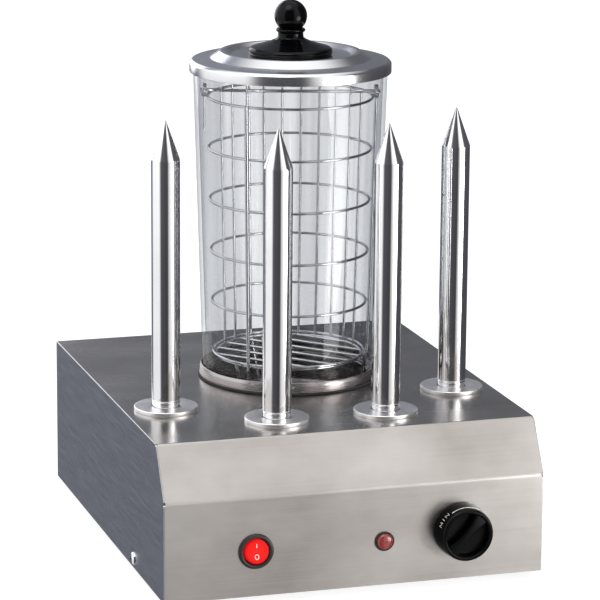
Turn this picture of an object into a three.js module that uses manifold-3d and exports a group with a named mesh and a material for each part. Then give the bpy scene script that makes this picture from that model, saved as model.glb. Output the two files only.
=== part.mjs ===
// Four-spike hot dog warmer: a folded sheet casing with a water pan, a tapered glass jar with a wire
// basket and a lid over the pan, four heated bun spikes on the top plate, and three controls in front.
// Millimetres, +Z up, front towards -Y, origin at the bottom centre.
import * as THREE from "three";
import { mergeVertices } from "three/addons/utils/BufferGeometryUtils.js";
import Module from "manifold-3d";

const wasm = await Module();
wasm.setup();

// ---- driving dimensions -------------------------------------------------------------------------
const WIDTH = 285;
const DEPTH = 335;
const BODY_HEIGHT = 111;
const FOOT_HEIGHT = 6;
const SHEET = 1.2;
const GAP = 0.3;
const SLOPE_SETBACK = 22;
const SLOPE_FOOT = 73;
const REACH = 18.5; // how far the dial in front and the cable gland behind stand out

const JAR_X = 6;
const JAR_Y = 22;
const PAN_RADIUS = 60;
const PAN_DEPTH = 24;
const PAN_SHEET = 0.8;
const GASKET_HEIGHT = 1.6;
const SEAT_RADIUS = 68;
const SEAT_HEIGHT = 7;
const SEAT_FLOOR = 1.6;

const GLASS_FOOT_RADIUS = 65.6;
const GLASS_RIM_RADIUS = 73.2;
const GLASS_WALL = 3;
const LID_RADIUS = 75.8;
const LID_Z = 360;
const LID_SKIRT = 9;
const LID_SHEET = 0.8;

const HOOP_COUNT = 6;
const HOOP_STEP = 39.2;
const HOOP_TOP_Z = 332;
const HOOP_TOP_RADIUS = 62;
const HOOP_FOOT_RADIUS = 57.5;
const THIN_WIRE = 2;
const THICK_WIRE = 3;
const BAIL_WIRE = 2.5;
const BAIL_RADIUS = 57;
const BAIL_Z = 336;
const BAIL_REST = 10; // degrees below level, lying back into the basket
const EYE_RADIUS = 4.2;
const EYE_WIRE = 2.6;
const UPRIGHT_ANGLES = [-137, -17, 103];
const BAIL_ANGLE = -17;
const BACK_WIRE_COUNT = 10;
const BACK_WIRE_START = 9;
const BACK_WIRE_STEP = 14;
const FLOOR_BAR_COUNT = 7;
const FLOOR_BAR_STEP = 17;
const FLOOR_BAR_ANGLE = -47;

const SPIKE_PLACES = [
  [-111, -54.7],
  [-41.5, -105.7],
  [41.5, -105.7],
  [111, -54.7],
];
const SPIKE_RADIUS = 10.5;
const SPIKE_HEIGHT = 215;
const SPIKE_CONE = 29;
const SPIKE_WALL = 1.2;
const COLLAR_RADIUS = 10.1;
const COLLAR_HEIGHT = 6.8;
const STUD_RADIUS = 8;
const FLANGE_RADIUS = 23.5;
const FLANGE_THICKNESS = 3;

const SWITCH = { x: -75, z: 39.4, bezel: 13, rocker: 9, tilt: 7 };
const LAMP = { x: 21, z: 38.7, radius: 7.3 };
const DIAL = { x: 78.8, z: 43, radius: 20.3, depth: 18 };
const GLAND = { x: 92, z: 32 };

// ---- places worked out from them ----------------------------------------------------------------
const FRONT = -DEPTH / 2;
const BACK = DEPTH / 2;
const SIDE = WIDTH / 2;
const TOP = FOOT_HEIGHT + BODY_HEIGHT;
const GASKET_TOP = TOP + GASKET_HEIGHT;
const PAN_TOP = GASKET_TOP + PAN_SHEET;
const PAN_FLOOR = TOP - PAN_DEPTH;
const GLASS_Z = PAN_TOP + SEAT_FLOOR + GAP;
const GLASS_HEIGHT = LID_Z - LID_SHEET - 2 * GAP - GLASS_Z;
const HOOP_FOOT_Z = HOOP_TOP_Z - HOOP_STEP * (HOOP_COUNT - 1);
const UPRIGHT_OFFSET = THIN_WIRE / 2 + THICK_WIRE / 2 + GAP;
const WIRE_OFFSET = THIN_WIRE + GAP;

const MATERIALS = {
  brushed: { color: 0xb9b4af, roughness: 0.38, metalness: 1 },
  polished: { color: 0xd8d8da, roughness: 0.14, metalness: 1 },
  wire: { color: 0xcfcfd1, roughness: 0.2, metalness: 1 },
  glass: { color: 0xe8eef2, roughness: 0.03, metalness: 0, transparent: true, opacity: 0.3 },
  black: { color: 0x111113, roughness: 0.25, metalness: 0 },
  red: { color: 0xd0201c, roughness: 0.3, metalness: 0 },
  lamp: { color: 0x6a1614, roughness: 0.2, metalness: 0 },
  rubber: { color: 0x18181a, roughness: 0.8, metalness: 0 },
  heater: { color: 0x6d6a66, roughness: 0.5, metalness: 1 },
};

const model = new THREE.Group();
const jar = new THREE.Group();
jar.position.set(JAR_X, JAR_Y, 0);
model.add(jar);

// ---- helpers ------------------------------------------------------------------------------------
function solid(geometry) {
  const bare = geometry.index ? geometry.toNonIndexed() : geometry.clone();
  bare.deleteAttribute("normal");
  bare.deleteAttribute("uv");
  const merged = mergeVertices(bare, 1e-3);
  const vertProperties = merged.attributes.position.array;
  const triVerts = new Uint32Array(merged.index.array);
  return new wasm.Manifold(new wasm.Mesh({ numProp: 3, vertProperties, triVerts }));
}

function geometryOf(body) {
  const mesh = body.getMesh();
  const geometry = new THREE.BufferGeometry();
  geometry.setAttribute("position", new THREE.BufferAttribute(mesh.vertProperties, 3));
  geometry.setIndex(new THREE.BufferAttribute(mesh.triVerts, 1));
  geometry.computeVertexNormals();
  return geometry;
}

const join = (...geometries) => geometryOf(geometries.map(solid).reduce((a, b) => a.add(b)));

const cut = (geometry, ...tools) =>
  geometryOf(tools.map(solid).reduce((body, tool) => body.subtract(tool), solid(geometry)));

function place(name, geometry, material, group = model, position = [0, 0, 0]) {
  const mesh = new THREE.Mesh(geometry, new THREE.MeshStandardMaterial(MATERIALS[material]));
  mesh.name = name;
  mesh.position.set(...position);
  group.add(mesh);
  return mesh;
}

function box(low, high) {
  const [x, y, z] = high.map((value, i) => value - low[i]);
  const middle = high.map((value, i) => (value + low[i]) / 2);
  return new THREE.BoxGeometry(x, y, z).translate(...middle);
}

// A solid of revolution about Z. The profile is a list of [radius, height], up its outer side.
function turned(profile, segments = 30) {
  const points = profile.map(([radius, height]) => new THREE.Vector2(radius, height));
  return new THREE.LatheGeometry(points, segments).rotateX(Math.PI / 2);
}

// The same about an axis that points out of the front panel; heights are measured from its face.
function turnedForward(profile, segments = 24) {
  return turned(profile, segments).rotateX(Math.PI / 2).translate(0, FRONT, 0);
}

function turnedBackward(profile, segments = 16) {
  return turned(profile, segments).rotateX(-Math.PI / 2).translate(0, BACK, 0);
}

const peg = (radius, low, high, sides = 20) =>
  turned([[0, low], [radius, low], [radius, high], [0, high]], sides);

const tube = (outer, inner, low, high, sides = 30) =>
  turned([[inner, low], [outer, low], [outer, high], [inner, high], [inner, low]], sides);

const hexNut = (radius, bore, low, high) =>
  cut(peg(radius, low, high, 6), peg(bore, low - 1, high + 1, 12));

const moved = (geometry, x, y, z) => geometry.clone().translate(x, y, z);

const radians = THREE.MathUtils.degToRad;

const polar = (radius, degrees, z) =>
  new THREE.Vector3(radius * Math.cos(radians(degrees)), radius * Math.sin(radians(degrees)), z);

function rod(start, end, diameter, sides = 6) {
  const along = new THREE.Vector3().subVectors(end, start);
  const turn = new THREE.Quaternion().setFromUnitVectors(
    new THREE.Vector3(0, 1, 0),
    along.clone().normalize(),
  );
  const middle = new THREE.Vector3().addVectors(start, end).multiplyScalar(0.5);
  return new THREE.CylinderGeometry(diameter / 2, diameter / 2, along.length(), sides)
    .applyQuaternion(turn)
    .translate(middle.x, middle.y, middle.z);
}

// A wire bent at each of its points, with a ball in every bend.
function bentWire(points, diameter, sides = 5) {
  const pieces = points.slice(1).map((point, i) => rod(points[i], point, diameter, sides));
  const bends = points
    .slice(1, -1)
    .map((p) => new THREE.SphereGeometry(diameter / 2, sides, 3).translate(p.x, p.y, p.z));
  return join(...pieces, ...bends);
}

function sweep(curve, diameter, steps, sides = 6) {
  const section = new THREE.Shape().absarc(0, 0, diameter / 2, 0, 2 * Math.PI);
  const shape = new THREE.Shape(section.getSpacedPoints(sides).slice(0, -1));
  return new THREE.ExtrudeGeometry(shape, { steps, extrudePath: curve, bevelEnabled: false });
}

// ---- casing -------------------------------------------------------------------------------------
// The folded outline of the casing seen from its side, drawn in by an inset on every side.
function foldedOutline(inset) {
  const slope = Math.atan2(BODY_HEIGHT - SLOPE_FOOT, SLOPE_SETBACK);
  const frontShift = inset * Math.tan((Math.PI / 2 - slope) / 2);
  const topShift = inset * Math.tan(slope / 2);
  return [
    [FRONT + inset, FOOT_HEIGHT],
    [BACK, FOOT_HEIGHT],
    [BACK, TOP - inset],
    [FRONT + SLOPE_SETBACK + topShift, TOP - inset],
    [FRONT + inset, FOOT_HEIGHT + SLOPE_FOOT - frontShift],
  ];
}

function foldedBlock(outline, width) {
  const shape = new THREE.Shape(outline.map(([y, z]) => new THREE.Vector2(y, z)));
  return new THREE.ExtrudeGeometry(shape, { depth: width, bevelEnabled: false })
    .translate(0, 0, -width / 2)
    .applyMatrix4(new THREE.Matrix4().makeBasis(
      new THREE.Vector3(0, 1, 0),
      new THREE.Vector3(0, 0, 1),
      new THREE.Vector3(1, 0, 0),
    ));
}

const SIDE_SCREW = { y: -81, z: FOOT_HEIGHT + 7 };
const REAR_SCREW_X = 122;
const REAR_SCREW_Z = [FOOT_HEIGHT + 8, TOP - 9];
const LIP_HEIGHT = 15;

function screwHoles(radius) {
  return REAR_SCREW_Z.flatMap((z) =>
    [-REAR_SCREW_X, REAR_SCREW_X].map((x) =>
      moved(turnedBackward([[0, -8], [radius, -8], [radius, 4], [0, 4]], 8), x, 0, z)),
  );
}

const crossRod = (radius, sides) =>
  rod(
    new THREE.Vector3(-SIDE - 2, SIDE_SCREW.y, SIDE_SCREW.z),
    new THREE.Vector3(SIDE + 2, SIDE_SCREW.y, SIDE_SCREW.z),
    2 * radius,
    sides,
  );

function makeCasing() {
  const lipBack = BACK - SHEET - GAP;
  const inner = foldedOutline(SHEET).map(([y, z]) => [
    y === BACK ? BACK + 1 : y,
    z === FOOT_HEIGHT ? FOOT_HEIGHT - 1 : z,
  ]);
  const lip = box(
    [-SIDE + 20, lipBack - SHEET, TOP - LIP_HEIGHT],
    [SIDE - 20, lipBack, TOP - SHEET / 2],
  );
  const shell = cut(foldedBlock(foldedOutline(0), WIDTH), foldedBlock(inner, WIDTH - 2 * SHEET));
  const spikeHoles = SPIKE_PLACES.map(([x, y]) =>
    moved(peg(STUD_RADIUS + 0.5, TOP - 4, TOP + 2, 16), x, y, 0));
  const hole = (at, radius, sides) =>
    moved(turnedForward([[0, -4], [radius, -4], [radius, 2], [0, 2]], sides), at.x, 0, at.z);
  return cut(
    join(shell, lip),
    moved(peg(PAN_RADIUS + PAN_SHEET + 0.7, TOP - 4, TOP + 2, 30), JAR_X, JAR_Y, 0),
    ...spikeHoles,
    hole(SWITCH, 11, 16),
    hole(LAMP, 5.6, 12),
    hole(DIAL, 6.6, 12),
    ...screwHoles(2.3),
    crossRod(2.3, 8),
  );
}

// A tray with a rim turned up on all four sides, screwed inside the casing's lower edge.
function makeBasePlate() {
  const x = SIDE - SHEET - GAP;
  const y = BACK - SHEET - GAP;
  const outside = box([-x, -y, FOOT_HEIGHT], [x, y, FOOT_HEIGHT + 16]);
  const inside = box(
    [-x + SHEET, -y + SHEET, FOOT_HEIGHT + SHEET],
    [x - SHEET, y - SHEET, FOOT_HEIGHT + 20],
  );
  return cut(outside, inside, ...screwHoles(2.3), crossRod(2.3, 8));
}

const VENT = { rows: 2, columns: 5, pitch: 18, length: 22, width: 3, x: -70, z: 54 };

function makeRearPanel() {
  const x = SIDE - SHEET - GAP;
  const plate = box([-x, BACK - SHEET, FOOT_HEIGHT], [x, BACK, TOP - SHEET - GAP]);
  const vents = [];
  for (let row = 0; row < VENT.rows; row += 1) {
    for (let column = 0; column < VENT.columns; column += 1) {
      const vx = VENT.x + (column - (VENT.columns - 1) / 2) * VENT.pitch;
      const vz = VENT.z + row * (VENT.length + 8);
      vents.push(box(
        [vx - VENT.width / 2, BACK - 4, vz - VENT.length / 2],
        [vx + VENT.width / 2, BACK + 4, vz + VENT.length / 2],
      ));
    }
  }
  const glandHole = turnedBackward([[0, -4], [8.5, -4], [8.5, 4], [0, 4]], 16);
  return cut(plate, ...vents, ...screwHoles(2.3), moved(glandHole, GLAND.x, 0, GLAND.z));
}

function addCasing() {
  place("casing_shell", makeCasing(), "brushed");
  place("base_plate", makeBasePlate(), "brushed");
  place("rear_panel", makeRearPanel(), "brushed");
  const foot = turned([[0, 0], [11, 0], [12.5, 1.5], [12, FOOT_HEIGHT], [0, FOOT_HEIGHT]], 14);
  const footX = SIDE - 28;
  const footY = BACK - 30;
  [[-footX, -footY], [footX, -footY], [-footX, footY], [footX, footY]].forEach(([x, y], i) =>
    place(`rubber_foot_${i + 1}`, foot, "rubber", model, [x, y, 0]));
}

// Pan-head screw along +Z: the head stands on height 0 and the shank hangs below it.
const panHead = (head, height, shank, length) =>
  turned([[0, -length], [shank, -length], [shank, 0], [head, 0], [head * 0.92, height * 0.55],
    [head * 0.55, height], [0, height]], 8);

function addScrews() {
  const side = panHead(5, 2.4, 1.9, 6);
  const left = side.clone().rotateY(-Math.PI / 2);
  const right = side.clone().rotateY(Math.PI / 2);
  place("side_screw_left", left, "polished", model, [-SIDE, SIDE_SCREW.y, SIDE_SCREW.z]);
  place("side_screw_right", right, "polished", model, [SIDE, SIDE_SCREW.y, SIDE_SCREW.z]);
  const rear = panHead(3.6, 1.8, 1.9, 6).rotateX(-Math.PI / 2);
  REAR_SCREW_Z.forEach((z, row) =>
    [-REAR_SCREW_X, REAR_SCREW_X].forEach((x, column) =>
      place(`rear_screw_${row * 2 + column + 1}`, rear, "polished", model, [x, BACK, z])));
}

// ---- water pan, seat and heater -----------------------------------------------------------------
const HEATER = { radius: 46, bore: 9, height: 8 };

function addPan() {
  const outer = PAN_RADIUS + PAN_SHEET;
  const under = PAN_FLOOR - PAN_SHEET;
  const stud = 3;
  place("water_pan", turned([
    [0, under - 22],
    [stud, under - 22],
    [stud, under],
    [outer - 4.6, under],
    [outer, under + 4.6],
    [outer, GASKET_TOP],
    [SEAT_RADIUS + 0.2, GASKET_TOP],
    [SEAT_RADIUS + 0.2, PAN_TOP],
    [PAN_RADIUS, PAN_TOP],
    [PAN_RADIUS, PAN_FLOOR + 4.2],
    [PAN_RADIUS - 4.2, PAN_FLOOR],
    [0, PAN_FLOOR],
  ]), "polished", jar);
  place("pan_gasket", tube(SEAT_RADIUS + 1, outer + 1.2, TOP, GASKET_TOP), "rubber", jar);
  place("seat_ring", turned([
    [PAN_RADIUS + 1, PAN_TOP],
    [SEAT_RADIUS, PAN_TOP],
    [SEAT_RADIUS - 0.3, PAN_TOP + SEAT_HEIGHT - 2],
    [SEAT_RADIUS - 1.1, PAN_TOP + SEAT_HEIGHT],
    [SEAT_RADIUS - 1.7, PAN_TOP + SEAT_HEIGHT],
    [SEAT_RADIUS - 1.7, PAN_TOP + SEAT_FLOOR],
    [PAN_RADIUS + 1, PAN_TOP + SEAT_FLOOR],
    [PAN_RADIUS + 1, PAN_TOP],
  ]), "polished", jar);
  const heaterTop = under - GAP;
  const heaterFoot = heaterTop - HEATER.height;
  place("pan_heater", tube(HEATER.radius, HEATER.bore, heaterFoot, heaterTop, 20), "heater", jar);
  const clamp = cut(
    box([-36, -9, heaterFoot - GAP - 2], [36, 9, heaterFoot - GAP]),
    peg(stud + GAP, heaterFoot - 5, heaterFoot + 5, 12),
  );
  place("heater_clamp", clamp, "brushed", jar);
  const nut = hexNut(6, stud + 0.2, heaterFoot - 2 * GAP - 7, heaterFoot - 2 * GAP - 2);
  place("heater_nut", nut, "polished", jar);
}

// ---- glass jar and lid --------------------------------------------------------------------------
function addJar() {
  place("glass_jar", turned([
    [GLASS_FOOT_RADIUS - GLASS_WALL, GLASS_Z],
    [GLASS_FOOT_RADIUS, GLASS_Z],
    [GLASS_RIM_RADIUS, GLASS_Z + GLASS_HEIGHT],
    [GLASS_RIM_RADIUS - GLASS_WALL, GLASS_Z + GLASS_HEIGHT],
    [GLASS_FOOT_RADIUS - GLASS_WALL, GLASS_Z],
  ]), "glass", jar);
}

const LID_RIDGE = 6.5;
const LID_CENTRE = 3.5;

function addLid() {
  const t = LID_SHEET;
  const bore = 2.6;
  place("lid", turned([
    [bore, LID_Z + LID_CENTRE - t],
    [45, LID_Z + LID_CENTRE - t],
    [51, LID_Z + LID_RIDGE - t],
    [60, LID_Z + 1.2 - t],
    [LID_RADIUS - 2.4, LID_Z - t],
    [LID_RADIUS - t, LID_Z - 2.4],
    [LID_RADIUS - t, LID_Z - LID_SKIRT],
    [LID_RADIUS, LID_Z - LID_SKIRT],
    [LID_RADIUS, LID_Z - 2],
    [LID_RADIUS - 2, LID_Z],
    [60.4, LID_Z + 1.2],
    [51, LID_Z + LID_RIDGE],
    [44.7, LID_Z + LID_CENTRE],
    [bore, LID_Z + LID_CENTRE],
    [bore, LID_Z + LID_CENTRE - t],
  ]), "polished", jar);
  addKnob(LID_Z + LID_CENTRE);
}

const BALL_STEPS = 7;

// The lid's handle: a shallow dome with a rim, a neck with a bead, and a ball.
function addKnob(foot) {
  const ball = { radius: 12.3, z: foot + 28.9 };
  const neck = foot + 18.5;
  const profile = [[0, foot + 14], [2.1, foot + 14], [2.1, foot], [30.5, foot], [31.5, foot + 1.2],
    [31.5, foot + 4.4], [30, foot + 5.4], [22, foot + 7.4], [14, foot + 10.8],
    [9.7, neck - 1.4], [11, neck], [11, neck + 0.8]];
  for (let step = 0; step <= BALL_STEPS; step += 1) {
    const angle = radians(-50 + (140 * step) / BALL_STEPS);
    const radius = step === BALL_STEPS ? 0 : ball.radius * Math.cos(angle);
    profile.push([radius, ball.z + ball.radius * Math.sin(angle)]);
  }
  place("lid_knob", turned(profile, 18), "black", jar);
  const screw = [[0, -2.8], [3.4, -2.8], [4.4, -1.8], [4.4, -0.1], [1.9, -0.1], [1.9, 13], [0, 13]];
  const screwFoot = foot - LID_SHEET;
  const lifted = screw.map(([radius, height]) => [radius, height + screwFoot]);
  place("lid_screw", turned(lifted, 10), "polished", jar);
}

// ---- wire basket --------------------------------------------------------------------------------
function basketRadius(z) {
  const share = (z - HOOP_FOOT_Z) / (HOOP_TOP_Z - HOOP_FOOT_Z);
  return THREE.MathUtils.lerp(HOOP_FOOT_RADIUS, HOOP_TOP_RADIUS, share);
}

const hoop = (radius, z) =>
  new THREE.TorusGeometry(radius, THIN_WIRE / 2, 5, 28).translate(0, 0, z);

// A loop of wire whose hole points along the bail's pivot line.
function eye(degrees) {
  const centre = polar(basketRadius(HOOP_TOP_Z) + UPRIGHT_OFFSET, degrees, BAIL_Z);
  return new THREE.TorusGeometry(EYE_RADIUS, EYE_WIRE / 2, 6, 12)
    .rotateY(Math.PI / 2)
    .rotateZ(radians(degrees))
    .translate(centre.x, centre.y, centre.z);
}

// The tail of an eye runs down outside the top two hoops.
function topHoop() {
  const degrees = BAIL_ANGLE + 180;
  const tailTop = polar(basketRadius(HOOP_TOP_Z) + UPRIGHT_OFFSET, degrees, BAIL_Z - EYE_RADIUS);
  const tailFoot = polar(basketRadius(HOOP_TOP_Z) + UPRIGHT_OFFSET, degrees, HOOP_TOP_Z - 26);
  const bridge = polar(basketRadius(HOOP_TOP_Z), degrees, HOOP_TOP_Z);
  const outside = polar(basketRadius(HOOP_TOP_Z) + UPRIGHT_OFFSET, degrees, HOOP_TOP_Z);
  return join(
    hoop(basketRadius(HOOP_TOP_Z), HOOP_TOP_Z),
    rod(bridge, outside, THIN_WIRE),
    rod(tailTop, tailFoot, EYE_WIRE),
    eye(degrees),
  );
}

// An upright follows the hoops down their outside, dips into the pan and turns up again as a V.
function upright(degrees) {
  const outside = (z) => basketRadius(z) + UPRIGHT_OFFSET;
  const topZ = degrees === BAIL_ANGLE ? BAIL_Z - EYE_RADIUS : HOOP_TOP_Z + 2;
  const wire = bentWire([
    polar(outside(topZ), degrees, topZ),
    polar(outside(HOOP_FOOT_Z), degrees, HOOP_FOOT_Z + 1),
    polar(51.5, degrees - 4, PAN_FLOOR + THICK_WIRE / 2 + 0.5),
    polar(51.5, degrees - 7, PAN_FLOOR + THICK_WIRE / 2 + 0.5),
    polar(outside(HOOP_FOOT_Z), degrees - 11, HOOP_FOOT_Z + 1),
  ], THICK_WIRE);
  return degrees === BAIL_ANGLE ? join(wire, eye(degrees)) : wire;
}

// The back wires stand inside the hoops on a ring, and the floor bars cross that ring.
function basketCage() {
  const ringZ = HOOP_FOOT_Z - WIRE_OFFSET;
  const ringRadius = HOOP_FOOT_RADIUS - WIRE_OFFSET;
  const pieces = [hoop(ringRadius, ringZ)];
  for (let i = 0; i < BACK_WIRE_COUNT; i += 1) {
    const degrees = BACK_WIRE_START + BACK_WIRE_STEP * i;
    const topRadius = HOOP_TOP_RADIUS - WIRE_OFFSET;
    const top = polar(topRadius, degrees, HOOP_TOP_Z + 1.4);
    pieces.push(rod(polar(ringRadius, degrees, ringZ), top, THIN_WIRE, 5));
  }
  for (let i = 0; i < FLOOR_BAR_COUNT; i += 1) {
    const offset = (i - (FLOOR_BAR_COUNT - 1) / 2) * FLOOR_BAR_STEP;
    const reach = Math.sqrt(ringRadius ** 2 - offset ** 2);
    const bar = rod(
      new THREE.Vector3(-reach, offset, ringZ),
      new THREE.Vector3(reach, offset, ringZ),
      THIN_WIRE,
      5,
    );
    pieces.push(bar.rotateZ(radians(FLOOR_BAR_ANGLE)));
  }
  return join(...pieces);
}

// The carrying handle: half a hoop whose two ends pass out through the eyes.
class BailCurve extends THREE.Curve {
  getPoint(t, target = new THREE.Vector3()) {
    const angle = Math.PI * t;
    return target.set(BAIL_RADIUS * Math.cos(angle), BAIL_RADIUS * Math.sin(angle), 0);
  }
}

function bail() {
  const end = (side, radius) => new THREE.Vector3(side * radius, 0, 0);
  const tip = HOOP_TOP_RADIUS + UPRIGHT_OFFSET + 3;
  const stubs = [-1, 1].map((side) => rod(end(side, BAIL_RADIUS), end(side, tip), BAIL_WIRE));
  const corners = [-1, 1].map((side) =>
    new THREE.SphereGeometry(BAIL_WIRE / 2, 6, 4).translate(side * BAIL_RADIUS, 0, 0));
  return join(sweep(new BailCurve(), BAIL_WIRE, 16), ...stubs, ...corners)
    .rotateX(radians(-BAIL_REST))
    .rotateZ(radians(BAIL_ANGLE))
    .translate(0, 0, BAIL_Z);
}

function addBasket() {
  place("basket_hoop_1", topHoop(), "wire", jar);
  for (let i = 1; i < HOOP_COUNT; i += 1) {
    const z = HOOP_TOP_Z - HOOP_STEP * i;
    place(`basket_hoop_${i + 1}`, hoop(basketRadius(z), z), "wire", jar);
  }
  UPRIGHT_ANGLES.forEach((degrees, i) =>
    place(`basket_upright_${i + 1}`, upright(degrees), "wire", jar));
  place("basket_cage", basketCage(), "wire", jar);
  place("basket_bail", bail(), "wire", jar);
}

// ---- bun spikes ---------------------------------------------------------------------------------
function spikeTube() {
  const shoulder = SPIKE_HEIGHT - SPIKE_CONE;
  const bore = STUD_RADIUS - 1;
  const wide = SPIKE_RADIUS - SPIKE_WALL;
  return turned([
    [bore, -14],
    [STUD_RADIUS, -14],
    [STUD_RADIUS, 0],
    [COLLAR_RADIUS, 0],
    [COLLAR_RADIUS, COLLAR_HEIGHT],
    [SPIKE_RADIUS, COLLAR_HEIGHT + 0.8],
    [SPIKE_RADIUS, shoulder],
    [0, SPIKE_HEIGHT],
    [0, shoulder],
    [wide, shoulder - 8],
    [wide, COLLAR_HEIGHT + 4],
    [bore, 2],
    [bore, -14],
  ], 16);
}

function addSpikes() {
  const flange = turned([
    [COLLAR_RADIUS + GAP, 0],
    [FLANGE_RADIUS, 0],
    [FLANGE_RADIUS, FLANGE_THICKNESS - 0.4],
    [FLANGE_RADIUS - 0.4, FLANGE_THICKNESS],
    [COLLAR_RADIUS + GAP, FLANGE_THICKNESS],
    [COLLAR_RADIUS + GAP, 0],
  ], 16);
  const nut = hexNut(13.5, STUD_RADIUS + GAP, -SHEET - GAP - 7, -SHEET - GAP);
  const heater = peg(6, -26, SPIKE_HEIGHT - 52, 8);
  SPIKE_PLACES.forEach(([x, y], i) => {
    const foot = [x, y, TOP];
    place(`bun_spike_${i + 1}`, spikeTube(), "polished", model, foot);
    place(`spike_flange_${i + 1}`, flange, "polished", model, foot);
    place(`spike_nut_${i + 1}`, nut, "brushed", model, foot);
    place(`spike_heater_${i + 1}`, heater, "heater", model, foot);
  });
}

// ---- controls -----------------------------------------------------------------------------------
function addSwitch() {
  const bezel = 2.2;
  const cavity = SWITCH.rocker + 0.7;
  const housing = turnedForward([
    [0, -24],
    [10.6, -24],
    [10.6, 0],
    [SWITCH.bezel, 0],
    [SWITCH.bezel - 0.2, bezel * 0.6],
    [SWITCH.bezel - 1.2, bezel],
    [cavity + 0.4, bezel],
    [cavity, bezel - 0.4],
    [cavity, -8],
    [0, -8],
  ]);
  place("switch_housing", housing, "black", model, [SWITCH.x, 0, SWITCH.z]);
  const half = 2.6;
  const rocker = turned([[0, -half], [SWITCH.rocker, -half], [SWITCH.rocker, half - 0.5],
    [SWITCH.rocker - 0.5, half], [0, half]], 20)
    .rotateX(Math.PI / 2)
    .rotateX(radians(-SWITCH.tilt))
    .translate(SWITCH.x, FRONT + 0.3, SWITCH.z);
  place("rocker_button", rocker, "red");
}

function addLamp() {
  const lens = turnedForward([[0, 0.4], [LAMP.radius - 1.3, 0.4], [LAMP.radius - 1.4, 2.2],
    [LAMP.radius - 2.6, 3.3], [LAMP.radius - 4.6, 3.9], [0, 4.1]], 16);
  const body = turnedForward([[0, -20], [5.2, -20], [5.2, 0], [LAMP.radius, 0],
    [LAMP.radius, 1], [LAMP.radius - 0.6, 1.6], [LAMP.radius - 1, 1.6], [LAMP.radius - 1, 0.1],
    [0, 0.1]], 16);
  place("indicator_lens", lens, "lamp", model, [LAMP.x, 0, LAMP.z]);
  place("indicator_body", body, "black", model, [LAMP.x, 0, LAMP.z]);
}

const SHAFT_RADIUS = 3;

function addThermostat() {
  const at = [DIAL.x, 0, DIAL.z];
  const r = DIAL.radius;
  const floor = 10.5;
  const cup = turnedForward([[0, 9], [SHAFT_RADIUS + 0.2, 9], [SHAFT_RADIUS + 0.2, 0.8], [r, 0.8],
    [r, 3], [r - 0.9, DIAL.depth - 3], [r - 2.4, DIAL.depth - 1], [r - 3.6, DIAL.depth - 1.4],
    [r - 4.4, floor], [0, floor]], 24);
  const grip = box([-r + 4, FRONT - DIAL.depth - 0.5, -4.6], [r - 4, FRONT - floor + 0.5, 4.6])
    .rotateY(-Math.PI / 4);
  place("thermostat_knob", join(cup, grip), "black", model, at);
  const shaft = turnedForward([[0, -22], [SHAFT_RADIUS, -22], [SHAFT_RADIUS, 8.7], [0, 8.7]], 16);
  place("thermostat_shaft", shaft, "brushed", model, at);
  const neck = turnedForward([[0, -20], [5.6, -20], [5.6, -1.6], [0, -1.6]], 16);
  const block = box([-21, FRONT + 18, -17], [21, FRONT + 42, 17]);
  const bore = turnedForward([[0, -24], [SHAFT_RADIUS + 0.3, -24], [SHAFT_RADIUS + 0.3, 2],
    [0, 2]], 16);
  place("thermostat_body", cut(join(neck, block), bore), "heater", model, at);
  addCapillary();
}

// The thin tube from the thermostat to the sensing bulb under the pan's floor.
function addCapillary() {
  const z = PAN_FLOOR - PAN_SHEET - GAP - 3.2;
  const y = JAR_Y - 53;
  const ends = [-30, 32].map((x) => new THREE.Vector3(JAR_X + x, y, z));
  const bulb = rod(ends[0], ends[1], 6.4, 10);
  const route = new THREE.CatmullRomCurve3([
    new THREE.Vector3(JAR_X + 30, y, z),
    new THREE.Vector3(JAR_X + 46, y - 3, z - 3),
    new THREE.Vector3(70, y - 22, z - 20),
    new THREE.Vector3(DIAL.x, y - 50, DIAL.z + 6),
    new THREE.Vector3(DIAL.x, FRONT + 42 + GAP, DIAL.z),
  ]);
  place("sensor_bulb", join(bulb, sweep(route, 2, 22, 6)), "heater");
}

// ---- wiring -------------------------------------------------------------------------------------
function addWiring() {
  const floor = FOOT_HEIGHT + SHEET;
  const block = box([50, 112, floor], [110, 132, floor + 16]);
  const wells = Array.from({ length: 5 }, (_, i) =>
    moved(peg(3, floor + 8, floor + 20, 10), 56 + 12 * i, 122, 0));
  place("terminal_block", cut(block, ...wells), "heater");
  const gland = turnedBackward([[4.6, -14], [8, -14], [8, 0], [12, 0], [12, 5], [10.6, 6],
    [10.2, REACH - 4], [8.4, REACH - 0.5], [5.2, REACH], [4.6, -14]], 16);
  place("cable_gland", gland, "black", model, [GLAND.x, 0, GLAND.z]);
}

addCasing();
addScrews();
addPan();
addJar();
addLid();
addBasket();
addSpikes();
addSwitch();
addLamp();
addThermostat();
addWiring();

export default model;
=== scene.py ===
"""Looks of the four-spike hot dog warmer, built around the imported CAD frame. Lengths are in metres."""
import math

import bmesh
import bpy
from mathutils import Matrix, Vector


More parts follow.
